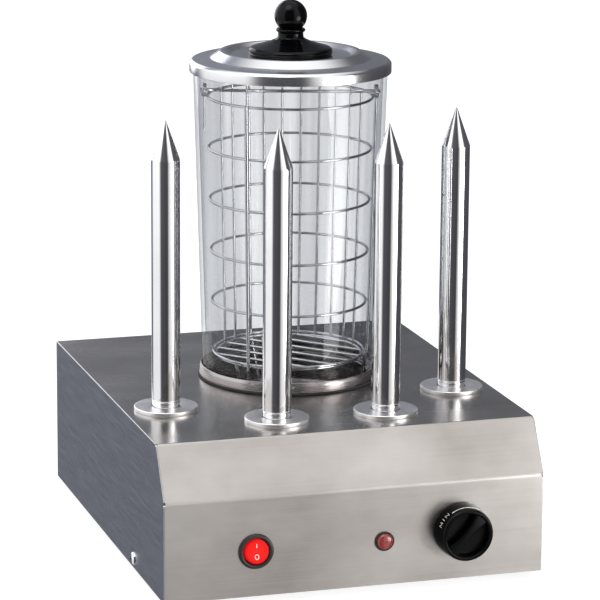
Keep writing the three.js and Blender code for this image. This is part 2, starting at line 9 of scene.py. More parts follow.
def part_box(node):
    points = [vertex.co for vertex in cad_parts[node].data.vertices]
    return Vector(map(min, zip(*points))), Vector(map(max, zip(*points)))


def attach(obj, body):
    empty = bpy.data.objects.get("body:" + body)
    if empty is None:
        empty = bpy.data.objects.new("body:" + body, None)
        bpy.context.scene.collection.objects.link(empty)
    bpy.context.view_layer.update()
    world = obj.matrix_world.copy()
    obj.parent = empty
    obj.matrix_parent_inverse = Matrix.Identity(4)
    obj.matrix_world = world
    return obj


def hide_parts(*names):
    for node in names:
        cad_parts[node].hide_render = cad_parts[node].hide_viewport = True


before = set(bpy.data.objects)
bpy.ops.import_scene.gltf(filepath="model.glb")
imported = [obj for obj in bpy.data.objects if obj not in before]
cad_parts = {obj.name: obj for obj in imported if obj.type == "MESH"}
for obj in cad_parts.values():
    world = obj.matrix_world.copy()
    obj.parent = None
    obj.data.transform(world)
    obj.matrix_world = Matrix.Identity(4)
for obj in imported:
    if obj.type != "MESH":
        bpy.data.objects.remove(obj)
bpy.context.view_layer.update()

MM = 0.001

# ---- places taken from the frame ------------------------------------------------------------------


def centre(node):
    low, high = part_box(node)
    return (low + high) / 2


CASING_LOW, CASING_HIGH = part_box("casing_shell")
TOP = CASING_HIGH.z
FRONT = CASING_LOW.y
BACK = CASING_HIGH.y
SIDE = CASING_HIGH.x
JAR = centre("pan_gasket")
HOOP_COUNT = 6
SPIKE_COUNT = 4
FOOT_COUNT = 4
REAR_SCREW_COUNT = 4

# ---- sizes that the frame doesn't name ------------------------------------------------------------
SHEET = 1.2 * MM
SLOPE_SETBACK = 22 * MM
SLOPE_FOOT = 73 * MM
FOLD = 1.5 * MM
SIDE_FOLD = 0.9 * MM
THIN_WIRE = 2.0 * MM
THICK_WIRE = 3.0 * MM
BAIL_WIRE = 2.5 * MM
EYE_WIRE = 1.9 * MM
MARK_WIRE = 0.5 * MM
WIRE_GAP = 0.3 * MM
BAIL_ANGLE = -17
UPRIGHT_ANGLES = (-137, -17, 103)

# ---- how finely the meshes are made ---------------------------------------------------------------
ROUND = 144
SHARP_ANGLE = 38
SLACK = 1e-6
ON_AXIS = 1e-7

# ---- mesh helpers ---------------------------------------------------------------------------------


def link(name, data):
    piece = bpy.data.objects.new(name, data)
    bpy.context.scene.collection.objects.link(piece)
    return piece


def mesh_object(name, bm, sharp=SHARP_ANGLE):
    bmesh.ops.recalc_face_normals(bm, faces=bm.faces)
    mesh = bpy.data.meshes.new(name)
    bm.to_mesh(mesh)
    bm.free()
    mesh.shade_smooth()
    mesh.set_sharp_from_angle(angle=math.radians(sharp))
    return link(name, mesh)


def rounded(points, radius, closed=False, steps=4):
    """The polyline with each corner eased by a curve that starts radius away from it."""
    result = []
    count = len(points)
    for i, point in enumerate(points):
        corner = Vector(point)
        if not closed and i in (0, count - 1):
            result.append(corner)
            continue
        before = Vector(points[i - 1]) - corner
        after = Vector(points[(i + 1) % count]) - corner
        reach = min(radius, 0.45 * before.length, 0.45 * after.length)
        start = corner + before.normalized() * reach
        end = corner + after.normalized() * reach
        for step in range(steps + 1):
            t = step / steps
            result.append(start * (1 - t) ** 2 + corner * 2 * t * (1 - t) + end * t ** 2)
    return result


def lathe_mesh(profile, closed, steps):
    """A surface of revolution about Z through the origin, from [(radius, height), ...]."""
    bm = bmesh.new()
    rings = []
    for radius, height in profile:
        if radius < ON_AXIS:
            rings.append([bm.verts.new((0, 0, height))])
            continue
        ring = []
        for i in range(steps):
            angle = 2 * math.pi * i / steps
            ring.append(bm.verts.new((radius * math.cos(angle), radius * math.sin(angle), height)))
        rings.append(ring)
    pairs = list(zip(rings, rings[1:]))
    if closed:
        pairs.append((rings[-1], rings[0]))
    for low, high in pairs:
        for i in range(steps):
            j = (i + 1) % steps
            if len(low) == 1 and len(high) == 1:
                continue
            if len(low) == 1:
                bm.faces.new((low[0], high[j], high[i]))
            elif len(high) == 1:
                bm.faces.new((low[i], low[j], high[0]))
            else:
                bm.faces.new((low[i], low[j], high[j], high[i]))
    return bm


TURNS = {
    "+Z": Matrix.Identity(4),
    "-Y": Matrix.Rotation(math.pi / 2, 4, "X"),
    "+Y": Matrix.Rotation(-math.pi / 2, 4, "X"),
    "-X": Matrix.Rotation(-math.pi / 2, 4, "Y"),
    "+X": Matrix.Rotation(math.pi / 2, 4, "Y"),
}


def turned(name, profile, place, axis="+Z", closed=False, steps=ROUND, ease=0.0,
           sharp=SHARP_ANGLE):
    """A turned piece. The profile is in millimetres, up its outer side, from place along axis."""
    points = [Vector((radius * MM, height * MM)) for radius, height in profile]
    if ease:
        points = rounded(points, ease * MM, closed)
    bm = lathe_mesh([(p.x, p.y) for p in points], closed, steps)
    bm.transform(Matrix.Translation(place) @ TURNS[axis])
    return mesh_object(name, bm, sharp)


def wires(name, paths, diameter, cyclic=False):
    """Round wire along each path."""
    curve = bpy.data.curves.new(name, "CURVE")
    curve.dimensions = "3D"
    curve.bevel_depth = diameter / 2
    curve.bevel_resolution = 5
    curve.use_fill_caps = True
    for path in paths:
        spline = curve.splines.new("POLY")
        spline.points.add(len(path) - 1)
        for point, co in zip(spline.points, path):
            point.co = (*co, 1)
        spline.use_cyclic_u = cyclic
        spline.use_smooth = True
    return link(name, curve)


def polar(radius, degrees, z):
    angle = math.radians(degrees)
    return Vector((JAR.x + radius * math.cos(angle), JAR.y + radius * math.sin(angle), z))


def circle(radius, z, count=120):
    return [polar(radius, 360 * i / count, z) for i in range(count)]


def cut_by(piece, cutters):
    """Takes the cutters out of the piece for good."""
    for cutter in cutters:
        modifier = piece.modifiers.new("cut", "BOOLEAN")
        modifier.object = cutter
        modifier.solver = "EXACT"
    apply_modifiers(piece)
    for cutter in cutters:
        bpy.data.objects.remove(cutter)


def apply_modifiers(piece):
    bpy.context.view_layer.update()
    graph = bpy.context.evaluated_depsgraph_get()
    mesh = bpy.data.meshes.new_from_object(piece.evaluated_get(graph))
    piece.modifiers.clear()
    piece.data = mesh


def block(name, low, high):
    bm = bmesh.new()
    bmesh.ops.create_cube(bm, size=1)
    size = Vector(high) - Vector(low)
    middle = (Vector(high) + Vector(low)) / 2
    bm.transform(Matrix.Translation(middle) @ Matrix.Diagonal((*size, 1)))
    return mesh_object(name, bm)


def add(piece, body, slot, material, *nodes):
    """Gives a piece its material, the body it rides on, and the CAD nodes it stands for."""
    piece.data.materials.clear()
    piece.data.materials.append(material)
    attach(piece, body)
    if nodes:
        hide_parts(*nodes)
    return piece


# ---- material helpers -----------------------------------------------------------------------------
NOISE_ROUGHNESS = 0.55


class Paint:
    """A Principled material with a few node shortcuts."""

    def __init__(self, name, color, roughness, metallic=0.0, **constants):
        self.material = bpy.data.materials.new(name)
        self.material.use_nodes = True
        self.tree = self.material.node_tree
        self.shader = self.tree.nodes["Principled BSDF"]
        self.shader.inputs["Base Color"].default_value = (*color, 1)
        self.shader.inputs["Roughness"].default_value = roughness
        self.shader.inputs["Metallic"].default_value = metallic
        for socket, value in constants.items():
            self.shader.inputs[socket.replace("_", " ")].default_value = value
        self.place = self.node("ShaderNodeTexCoord").outputs["Object"]

    def node(self, kind, **settings):
        made = self.tree.nodes.new(kind)
        for key, value in settings.items():
            setattr(made, key, value)
        return made

    def join(self, output, socket):
        self.tree.links.new(output, socket)

    def noise(self, stretch, detail=3.0, source=None):
        """Noise in cells of 1 / stretch metres along X, Y and Z."""
        mapping = self.node("ShaderNodeMapping")
        mapping.inputs["Scale"].default_value = stretch
        self.join(source or self.place, mapping.inputs["Vector"])
        texture = self.node("ShaderNodeTexNoise")
        texture.inputs["Scale"].default_value = 1.0
        texture.inputs["Detail"].default_value = detail
        texture.inputs["Roughness"].default_value = NOISE_ROUGHNESS
        self.join(mapping.outputs["Vector"], texture.inputs["Vector"])
        return texture.outputs["Fac"]

    def remap(self, value, low, high, start=0.3, end=0.7):
        node = self.node("ShaderNodeMapRange")
        node.inputs["From Min"].default_value = start
        node.inputs["From Max"].default_value = end
        node.inputs["To Min"].default_value = low
        node.inputs["To Max"].default_value = high
        self.join(value, node.inputs["Value"])
        return node.outputs["Result"]

    def mixed(self, factor, first, second):
        node = self.node("ShaderNodeMix", data_type="RGBA")
        self.join(factor, node.inputs[0])
        for socket, color in ((node.inputs[6], first), (node.inputs[7], second)):
            if isinstance(color, tuple):
                socket.default_value = (*color, 1)
            else:
                self.join(color, socket)
        return node.outputs[2]

    def mixed_value(self, factor, first, second):
        node = self.node("ShaderNodeMix", data_type="FLOAT")
        self.join(factor, node.inputs[0])
        for socket, value in ((node.inputs[2], first), (node.inputs[3], second)):
            if isinstance(value, float):
                socket.default_value = value
            else:
                self.join(value, socket)
        return node.outputs[0]

    def color(self, output):
        self.join(output, self.shader.inputs["Base Color"])

    def rough(self, output):
        self.join(output, self.shader.inputs["Roughness"])

    def bump(self, height, strength, distance=0.2 * MM):
        node = self.node("ShaderNodeBump")
        node.inputs["Strength"].default_value = strength
        node.inputs["Distance"].default_value = distance
        self.join(height, node.inputs["Height"])
        self.join(node.outputs["Normal"], self.shader.inputs["Normal"])

    def facing(self, axis, start=0.5, end=0.8):
        """1 where the surface's normal lies along that axis, 0 where it doesn't."""
        normal = self.node("ShaderNodeSeparateXYZ")
        self.join(self.node("ShaderNodeNewGeometry").outputs["Normal"], normal.inputs[0])
        size = self.node("ShaderNodeMath", operation="ABSOLUTE")
        self.join(normal.outputs["XYZ".index(axis)], size.inputs[0])
        return self.remap(size.outputs[0], 0.0, 1.0, start, end)


def brushed_steel():
    """Sheet with a fine grain along X, along Y on the two sides, and faint wipe marks. The two sides are
    painted a flat darker bluish grey as painted shade.
    """
    paint = Paint("brushed_casing_steel", (0.5, 0.48, 0.46), 0.34, 1.0)
    sideways = paint.facing("X")
    upward = paint.facing("Z", 0.9, 0.97)
    grain = paint.mixed_value(sideways, paint.noise((6, 900, 900), 4.0), paint.noise((900, 30, 900), 4.0))
    blotch = paint.noise((11, 11, 16), 4.0)
    smear = paint.noise((5, 26, 26), 2.0)
    plain = paint.mixed(paint.remap(blotch, 0.0, 1.0), (0.36, 0.335, 0.315), (0.54, 0.52, 0.50))
    fine = paint.mixed_value(sideways, paint.remap(grain, 0.0, 0.2), paint.remap(grain, 0.0, 0.05))
    streaked = paint.mixed(fine, plain, (0.62, 0.60, 0.58))
    # Painted shade: the two sides facing X get a flat darker bluish grey instead of the grained colour.
    paint.color(paint.mixed(sideways, streaked, (0.41, 0.42, 0.45)))
    front = paint.remap(grain, 0.3, 0.42)
    top = paint.remap(smear, 0.2, 0.3)
    paint.rough(paint.mixed_value(upward, front, top))
    paint.bump(grain, 0.015)
    return paint.material


def polished_steel(name, color=(0.78, 0.78, 0.79), low=0.05, high=0.12, stretch=(60, 60, 900)):
    """Turned, drawn or plated metal with hairlines; its roughness runs from low to high."""
    paint = Paint(name, color, low, 1.0)
    lines = paint.noise(stretch, 3.0)
    cloud = paint.noise((30, 30, 30), 2.0)
    bright = tuple(min(1.0, value * 1.08) for value in color)
    paint.color(paint.mixed(paint.remap(cloud, 0.0, 1.0), color, bright))
    paint.rough(paint.remap(lines, low, high))
    paint.bump(lines, 0.015)
    return paint.material


def spun_steel():
    """The lid's steel, with rings left by spinning it about its own axis."""
    paint = Paint("spun_lid_steel", (0.74, 0.74, 0.76), 0.16, 1.0)
    shifted = paint.node("ShaderNodeVectorMath", operation="SUBTRACT")
    paint.join(paint.place, shifted.inputs[0])
    shifted.inputs[1].default_value = (JAR.x, JAR.y, 0)
    flat = paint.node("ShaderNodeVectorMath", operation="MULTIPLY")
    paint.join(shifted.outputs[0], flat.inputs[0])
    flat.inputs[1].default_value = (1, 1, 0)
    radius = paint.node("ShaderNodeVectorMath", operation="LENGTH")
    paint.join(flat.outputs[0], radius.inputs[0])
    line = paint.node("ShaderNodeCombineXYZ")
    paint.join(radius.outputs["Value"], line.inputs[0])
    rings = paint.noise((1400, 1, 1), 3.0, source=line.outputs[0])
    paint.rough(paint.remap(rings, 0.17, 0.27))
    paint.bump(rings, 0.02)
    cloud = paint.noise((25, 25, 25), 2.0)
    paint.color(paint.mixed(paint.remap(cloud, 0.0, 1.0), (0.70, 0.70, 0.72), (0.80, 0.80, 0.81)))
    return paint.material


def clear_glass():
    """Thin clear glass with faint upright streaks; its edges let less light through and reflect more."""
    paint = Paint("clear_glass", (0.95, 0.96, 0.97), 0.03, 1.0)
    layer = paint.node("ShaderNodeLayerWeight")
    layer.inputs["Blend"].default_value = 0.5
    steep = paint.node("ShaderNodeMath", operation="POWER")
    paint.join(layer.outputs["Facing"], steep.inputs[0])
    steep.inputs[1].default_value = 4.0
    share = paint.node("ShaderNodeMath", operation="MULTIPLY_ADD")
    paint.join(steep.outputs[0], share.inputs[0])
    share.inputs[1].default_value = 0.3
    share.inputs[2].default_value = 0.022
    streaks = paint.remap(paint.noise((45, 45, 1.5), 2.0), 0.0, 1.0, 0.4, 0.62)
    plain = paint.mixed(streaks, (0.925, 0.93, 0.935), (0.815, 0.82, 0.83))
    through = paint.node("ShaderNodeBsdfTransparent")
    paint.join(paint.mixed(steep.outputs[0], plain, (0.77, 0.785, 0.80)), through.inputs["Color"])
    mix = paint.node("ShaderNodeMixShader")
    paint.join(share.outputs[0], mix.inputs[0])
    paint.join(through.outputs[0], mix.inputs[1])
    paint.join(paint.shader.outputs[0], mix.inputs[2])
    paint.join(mix.outputs[0], paint.tree.nodes["Material Output"].inputs["Surface"])
    return paint.material


def moulded(name, color, roughness, spread=0.06, grain=1500, gloss=0.5):
    """A moulded, fired or printed surface with a fine skin and faint dust."""
    paint = Paint(name, color, roughness, Specular_IOR_Level=gloss)
    dust = paint.noise((70, 70, 70), 4.0)
    lighter = tuple(value * 1.35 + 0.001 for value in color)
    paint.color(paint.mixed(paint.remap(dust, 0.0, 0.6, 0.45, 0.75), color, lighter))
    paint.rough(paint.remap(dust, roughness, roughness + spread))
    paint.bump(paint.noise((grain, grain, grain), 2.0), 0.03, 0.1 * MM)
    return paint.material


def lit_rocker():
    """The red rocker glows from the lamp inside, more towards its middle."""
    paint = Paint("rocker_red", (0.5, 0.01, 0.01), 0.3, Specular_IOR_Level=0.15)
    spot = centre("rocker_button")
    away = paint.node("ShaderNodeVectorMath", operation="DISTANCE")
    paint.join(paint.place, away.inputs[0])
    away.inputs[1].default_value = spot
    outer = paint.remap(away.outputs["Value"], 0.0, 1.0, 4 * MM, 10 * MM)
    paint.color(paint.mixed(outer, (0.35, 0.004, 0.004), (0.2, 0.002, 0.002)))
    glow = paint.mixed(outer, (1.0, 0.012, 0.008), (0.5, 0.0, 0.0))
    paint.join(glow, paint.shader.inputs["Emission Color"])
    paint.shader.inputs["Emission Strength"].default_value = 0.75
    return paint.material


# How fast the lens's rings repeat outward, in radians per metre.
LENS_RIPPLE = 5500


def lamp_lens():
    """The unlit dark red lens, with rings of prisms inside."""
    paint = Paint("lamp_lens_red", (0.2, 0.02, 0.02), 0.18, Coat_Weight=0.6, Coat_Roughness=0.05)
    spot = centre("indicator_lens")
    away = paint.node("ShaderNodeVectorMath", operation="DISTANCE")
    paint.join(paint.place, away.inputs[0])
    away.inputs[1].default_value = spot
    wave = paint.node("ShaderNodeMath", operation="SINE")
    scaled = paint.node("ShaderNodeMath", operation="MULTIPLY")
    paint.join(away.outputs["Value"], scaled.inputs[0])
    scaled.inputs[1].default_value = LENS_RIPPLE
    paint.join(scaled.outputs[0], wave.inputs[0])
    paint.color(paint.mixed(paint.remap(wave.outputs[0], 0.0, 1.0, -1, 1),
                            (0.13, 0.018, 0.018), (0.27, 0.035, 0.03)))
    paint.bump(wave.outputs[0], 0.1)
    return paint.material


STEEL = brushed_steel()
POLISHED = polished_steel("polished_steel")
RING_STEEL = polished_steel("ring_steel", (0.38, 0.355, 0.35), 0.22, 0.32)
# The pan's steel is a darker copy of the polished steel: painted shade for the pan deep inside the jar.
SHADED_PAN_STEEL = polished_steel("pan_steel_painted_shade", (0.26, 0.24, 0.235), 0.2, 0.32)
FLANGE_STEEL = polished_steel("turned_flange_steel", (0.86, 0.85, 0.85), 0.3, 0.42, (90, 90, 90))
SPUN = spun_steel()
WIRE = polished_steel("drawn_wire", (0.80, 0.80, 0.81), 0.08, 0.18, (300, 300, 300))
ZINC = polished_steel("zinc_plate", (0.60, 0.60, 0.62), 0.2, 0.35, (200, 200, 200))
HOT_METAL = polished_steel("heater_metal", (0.30, 0.28, 0.27), 0.4, 0.6, (120, 120, 120))
GLASS = clear_glass()
KNOB_BLACK = moulded("glossy_phenolic", (0.001, 0.001, 0.0014), 0.1, 0.04, gloss=0.14)
DIAL_BLACK = moulded("dial_black", (0.0012, 0.0012, 0.0012), 0.22, gloss=0.12)
BEZEL = moulded("bezel_black", (0.024, 0.021, 0.021), 0.3, gloss=0.3)
RUBBER = moulded("black_rubber", (0.02, 0.02, 0.021), 0.7, 0.15, 900)
CERAMIC = moulded("inner_ceramic", (0.62, 0.60, 0.55), 0.55, 0.2, 700)
ROCKER_RED = lit_rocker()
LAMP_RED = lamp_lens()
MARKS = moulded("marks_white", (0.82, 0.78, 0.76), 0.5)

# ---- casing ---------------------------------------------------------------------------------------
# In millimetres. The cutters run right through the sheet, from CUT_LOW to CUT_HIGH.
CUT_LOW, CUT_HIGH = -4, 2
PAN_HOLE = 61.5
SPIKE_HOLE = 8.5
PANEL_HOLES = (("switch_housing", 11), ("indicator_body", 5.6), ("thermostat_knob", 6.6))
# A ball that opens each corner where two folds meet.
RELIEF = [(0, -2), (1.4, -1.4), (2, 0), (1.4, 1.4), (0, 2)]


def folded_outline(inset, fold):
    """The casing's side outline as (y, z), drawn in by inset, with its two folds rounded."""
    slope = math.atan2(TOP - CASING_LOW.z - SLOPE_FOOT, SLOPE_SETBACK)
    front_shift = inset * math.tan((math.pi / 2 - slope) / 2)
    top_shift = inset * math.tan(slope / 2)
    past = 1 * MM if inset else 0
    corners = [
        (BACK + past, CASING_LOW.z - past),
        (BACK + past, TOP - inset),
        (FRONT + SLOPE_SETBACK + top_shift, TOP - inset),
        (FRONT + inset, CASING_LOW.z + SLOPE_FOOT - front_shift),
        (FRONT + inset, CASING_LOW.z - past),
    ]
    folds = rounded(corners[1:], fold, steps=6)[1:-1]
    return corners[:2] + [tuple(point) for point in folds] + corners[4:]


def prism(name, outline, half_width):
    bm = bmesh.new()
    left = [bm.verts.new((-half_width, y, z)) for y, z in outline]
    right = [bm.verts.new((half_width, y, z)) for y, z in outline]
    bm.faces.new(left)
    bm.faces.new(reversed(right))
    for i in range(len(outline)):
        j = (i + 1) % len(outline)
        bm.faces.new((left[i], left[j], right[j], right[i]))
    return mesh_object(name, bm)


def hole_cutter(name, radius, place, axis="+Z", steps=64):
    profile = [(0, CUT_LOW), (radius, CUT_LOW), (radius, CUT_HIGH), (0, CUT_HIGH)]
    return turned(name, profile, place, axis, steps=steps)


def side_edges(bm):
    """The folds between the sheet and its two side walls: all outline edges but the open ends."""
    found = []
    for edge in bm.edges:
        a, b = (v.co for v in edge.verts)
        along = abs(abs(a.x) - SIDE) < SLACK and abs(a.x - b.x) < SLACK
        open_end = a.z < CASING_LOW.z + SLACK and b.z < CASING_LOW.z + SLACK
        rear = a.y > BACK - SLACK and b.y > BACK - SLACK
        if along and not open_end and not rear:
            found.append(edge)
    return found


def make_casing():
    shell = prism("casing", folded_outline(0, FOLD), SIDE)
    bm = bmesh.new()
    bm.from_mesh(shell.data)
    bmesh.ops.bevel(bm, geom=side_edges(bm), offset=SIDE_FOLD, segments=3, profile=0.5, affect="EDGES")
    bm.to_mesh(shell.data)
    bm.free()
    hollow = prism("hollow", folded_outline(SHEET, FOLD), SIDE - SHEET)
    pan_hole = hole_cutter("pan_hole", PAN_HOLE, Vector((JAR.x, JAR.y, TOP)), steps=ROUND)
    cutters = [hollow, pan_hole]
    for i in range(SPIKE_COUNT):
        at = centre(f"spike_flange_{i + 1}")
        cutters.append(hole_cutter("spike_hole", SPIKE_HOLE, Vector((at.x, at.y, TOP))))
    for node, radius in PANEL_HOLES:
        cutters.append(hole_cutter("panel_hole", radius, panel_point(node), "-Y"))
    for side in (-1, 1):
        for y, z in ((FRONT + SLOPE_SETBACK, TOP), (FRONT, CASING_LOW.z + SLOPE_FOOT)):
            cutters.append(turned("relief", RELIEF, Vector((side * SIDE, y, z)), "-X", steps=24))
    cut_by(shell, cutters)
    flat_shading(shell)
    return shell


def flat_shading(piece, sharp=24):
    """Smooth folds beside flat faces that stay flat."""
    piece.data.shade_smooth()
    piece.data.set_sharp_from_angle(angle=math.radians(sharp))
    weighted = piece.modifiers.new("weighted", "WEIGHTED_NORMAL")
    weighted.keep_sharp = True
    weighted.weight = 100


def add_casing():
    shell = make_casing()
    shell.name = "casing_sheet"
    add(shell, "base", "casing_steel", STEEL, "casing_shell")
    for i in range(FOOT_COUNT):
        node = f"rubber_foot_{i + 1}"
        at = centre(node)
        height = (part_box(node)[1].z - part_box(node)[0].z) / MM
        foot = turned(f"foot_{i + 1}", [(0, 0), (11, 0), (12.4, 1.2), (12, height), (0, height)],
                      Vector((at.x, at.y, 0)), ease=0.6, steps=72)
        add(foot, "base", "rubber", RUBBER, node)


# The screws' cross slot, in millimetres.
SLOT_LENGTH = 4.6
SLOT_WIDTH = 0.9
SLOT_DEPTH = 1.1


def cross_recess(name, place, axis):
    """Two bars that cut a cross slot, sunk into the screw from place."""
    bars = []
    for length, width in ((SLOT_LENGTH, SLOT_WIDTH), (SLOT_WIDTH, SLOT_LENGTH)):
        bar = block(name, (-length * MM / 2, -width * MM / 2, -SLOT_DEPTH * MM),
                    (length * MM / 2, width * MM / 2, 2 * MM))
        bar.data.transform(Matrix.Translation(place) @ TURNS[axis])
        bars.append(bar)
    return bars


def add_screw(node, name, axis, face, head, height):
    at = centre(node)
    place = Vector((face, at.y, at.z)) if axis[1] == "X" else Vector((at.x, face, at.z))
    profile = [(0, -6), (1.9, -6), (1.9, 0), (head, 0), (head * 0.97, height * 0.4),
               (head * 0.8, height * 0.78), (head * 0.5, height * 0.96), (0, height)]
    screw = turned(name, profile, place, axis, steps=64)
    outward = TURNS[axis].to_3x3() @ Vector((0, 0, height * MM))
    cut_by(screw, cross_recess("slot", place + outward, axis))
    screw.data.set_sharp_from_angle(angle=math.radians(SHARP_ANGLE))
    add(screw, "base", "fastener_steel", POLISHED, node)


def add_screws():
    add_screw("side_screw_left", "screw_left", "-X", -SIDE, 5, 2.4)
    add_screw("side_screw_right", "screw_right", "+X", SIDE, 5, 2.4)
    for i in range(REAR_SCREW_COUNT):
        add_screw(f"rear_screw_{i + 1}", f"screw_rear_{i + 1}", "+Y", BACK, 3.6, 1.8)


# ---- pan, seat, jar and lid -----------------------------------------------------------------------
JAR_FOOT = Vector((JAR.x, JAR.y, 0))
PAN_FLOOR = TOP - 24 * MM


def level(node, end):
    """The height of a node's foot (0) or head (1), in millimetres."""
    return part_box(node)[end].z / MM


def span(node, across=1):
    """A round node's radius in millimetres, measured across X (0) or Y (1)."""
    low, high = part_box(node)
    return (high[across] - low[across]) / 2 / MM


def add_pan():
    foot, head, rim = level("water_pan", 0), level("water_pan", 1), span("water_pan")
    floor = PAN_FLOOR / MM
    inner, sheet = 60, 0.8
    profile = [(0, foot), (3, foot), (3, floor - sheet), (inner - 3.8, floor - sheet),
               (inner + sheet, floor + 4.2), (inner + sheet, head - sheet), (rim, head - sheet),
               (rim, head), (inner, head), (inner, floor + 4.2), (inner - 4.2, floor), (0, floor)]
    pan = turned("water_pan_drawn", profile, JAR_FOOT, ease=1.2)
    # The pan wears the darkened steel, painted shade for its place inside the jar.
    add(pan, "base", "polished_steel", SHADED_PAN_STEEL, "water_pan")
    low, high, outer = level("pan_gasket", 0), level("pan_gasket", 1), span("pan_gasket")
    ring = [(62, low), (outer, low), (outer, high), (62, high)]
    gasket = turned("pan_seal", ring, JAR_FOOT, closed=True, ease=0.7)
    add(gasket, "base", "rubber", RUBBER, "pan_gasket")
    low, high, outer = level("seat_ring", 0), level("seat_ring", 1), span("seat_ring")
    ring = [(61, low), (outer, low), (outer - 0.3, high - 2.2), (outer - 1, high), (outer - 1.7, high),
            (outer - 1.7, low + 1.6), (61, low + 1.6)]
    seat = turned("seat_ring_turned", ring, JAR_FOOT, closed=True, ease=0.5)
    add(seat, "base", "polished_steel", RING_STEEL, "seat_ring")


def add_jar():
    low, high, rim = level("glass_jar", 0), level("glass_jar", 1), span("glass_jar")
    foot, wall = 65.6, 3
    ring = [(foot - wall, low), (foot, low), (rim, high), (rim - wall, high)]
    jar = turned("glass_cylinder", ring, JAR_FOOT, closed=True, ease=1.1, steps=192)
    add(jar, "jar", "jar_glass", GLASS, "glass_jar")


def add_lid():
    low, rim = level("lid", 0), span("lid")
    top = low + 9
    ridge, dish, sheet = 6.5, 3.5, 0.8
    outer = [(2.6, top + dish), (44.7, top + dish), (49.4, top + ridge), (52.6, top + ridge),
             (60.4, top + 1.1), (rim - 2, top), (rim, top - 2), (rim, low)]
    inner = [(rim - sheet, low), (rim - sheet, top - 2.4), (rim - 2.4, top - sheet),
             (60, top + 1.1 - sheet), (52.3, top + ridge - sheet), (49.8, top + ridge - sheet),
             (45, top + dish - sheet), (2.6, top + dish - sheet)]
    lid = turned("lid_spun", outer + inner, JAR_FOOT, closed=True, ease=0.9, steps=192, sharp=60)
    add(lid, "lid", "polished_steel", SPUN, "lid")
    add_lid_knob(top + dish)


def add_lid_knob(foot):
    ball, centre_height = 12.3, foot + 28.9
    profile = [(0, foot + 14), (2.1, foot + 14), (2.1, foot)]
    profile += rounded([(2.1, foot), (30.6, foot), (31.5, foot + 1.4), (31.4, foot + 4.2),
                        (29.6, foot + 5.6), (23.5, foot + 7.2), (16, foot + 9.6), (11.6, foot + 11.6),
                        (9.7, foot + 13), (9.5, foot + 16.6), (10.4, foot + 17.2), (11, foot + 18),
                        (11, foot + 19), (10.4, foot + 19.6), (8.6, foot + 20)], 1.0, steps=4)[1:]
    start, turns = -46, 28
    for i in range(turns + 1):
        angle = math.radians(start + (90 - start) * i / turns)
        radius = 0 if i == turns else ball * math.cos(angle)
        profile.append((radius, centre_height + ball * math.sin(angle)))
    knob = turned("lid_handle", profile, JAR_FOOT, steps=96, sharp=50)
    add(knob, "lid", "knob_black", KNOB_BLACK, "lid_knob")
    screw = [(0, -2.8), (3.4, -2.8), (4.4, -1.8), (4.4, -0.1), (1.9, -0.1), (1.9, 13), (0, 13)]
    lifted = [(radius, height + foot - 0.8) for radius, height in screw]
    bolt = turned("lid_bolt", lifted, JAR_FOOT, steps=48)
    add(bolt, "lid", "polished_steel", ZINC, "lid_screw")


# ---- basket ---------------------------------------------------------------------------------------
HOOP_FOOT_Z = centre(f"basket_hoop_{HOOP_COUNT}").z
HOOP_STEP = (centre("basket_hoop_2").z - HOOP_FOOT_Z) / (HOOP_COUNT - 2)
HOOP_TOP_Z = HOOP_FOOT_Z + (HOOP_COUNT - 1) * HOOP_STEP
HOOP_TOP_RADIUS = 62 * MM
HOOP_FOOT_RADIUS = 57.5 * MM
UPRIGHT_OFFSET = THIN_WIRE / 2 + THICK_WIRE / 2 + WIRE_GAP * 0.3
WIRE_OFFSET = THIN_WIRE + WIRE_GAP * 0.3
BAIL_Z = HOOP_TOP_Z + 4 * MM
BAIL_RADIUS = 57 * MM
BAIL_REST = 10
BAIL_TIP = 3 * MM
BAIL_STEPS = 60
EYE_RADIUS = 4.2 * MM
EYE_LENGTH = 2.6 * MM
EYE_TURNS = 2.25
EYE_START = 270
EYE_STEPS_PER_TURN = 28
WIRE_END = 1.4 * MM
V_RADIUS = 51.5 * MM
V_CORNER = 5 * MM
TAIL_LENGTH = 26 * MM
BACK_WIRE_COUNT = 10
BACK_WIRE_START = 9
BACK_WIRE_STEP = 14
FLOOR_BARS = 7
FLOOR_BAR_STEP = 17 * MM
FLOOR_BAR_ANGLE = -47


def hoop_radius(z):
    share = (z - HOOP_FOOT_Z) / (HOOP_TOP_Z - HOOP_FOOT_Z)
    return HOOP_FOOT_RADIUS + (HOOP_TOP_RADIUS - HOOP_FOOT_RADIUS) * share


def eye_coil(degrees):
    """Wire wound into an eye whose hole points outward from the jar's axis."""
    outward = polar(1, degrees, 0) - JAR_FOOT
    sideways = Vector((-outward.y, outward.x, 0))
    middle = polar(HOOP_TOP_RADIUS + UPRIGHT_OFFSET, degrees, BAIL_Z)
    path = []
    steps = int(EYE_TURNS * EYE_STEPS_PER_TURN)
    for i in range(steps + 1):
        angle = math.radians(EYE_START + 360 * EYE_TURNS * i / steps)
        along = (i / steps - 0.5) * EYE_LENGTH
        turn = sideways * math.cos(angle) + Vector((0, 0, 1)) * math.sin(angle)
        path.append(middle + outward * along + turn * EYE_RADIUS)
    return path


def upright_path(degrees):
    """Down the outside of the hoops, round a V-shaped foot under the floor, and up to the lowest hoop."""
    outside = HOOP_TOP_RADIUS + UPRIGHT_OFFSET
    top_z = BAIL_Z - EYE_RADIUS if degrees == BAIL_ANGLE else HOOP_TOP_Z + WIRE_END
    foot_radius = HOOP_FOOT_RADIUS + UPRIGHT_OFFSET
    low = PAN_FLOOR + THICK_WIRE / 2 + 0.5 * MM
    corners = [
        polar(outside, degrees, top_z),
        polar(foot_radius, degrees, HOOP_FOOT_Z + 1 * MM),
        polar(V_RADIUS, degrees - 4, low),
        polar(V_RADIUS, degrees - 7, low),
        polar(foot_radius, degrees - 11, HOOP_FOOT_Z + 1 * MM),
    ]
    return rounded(corners, V_CORNER, steps=8)


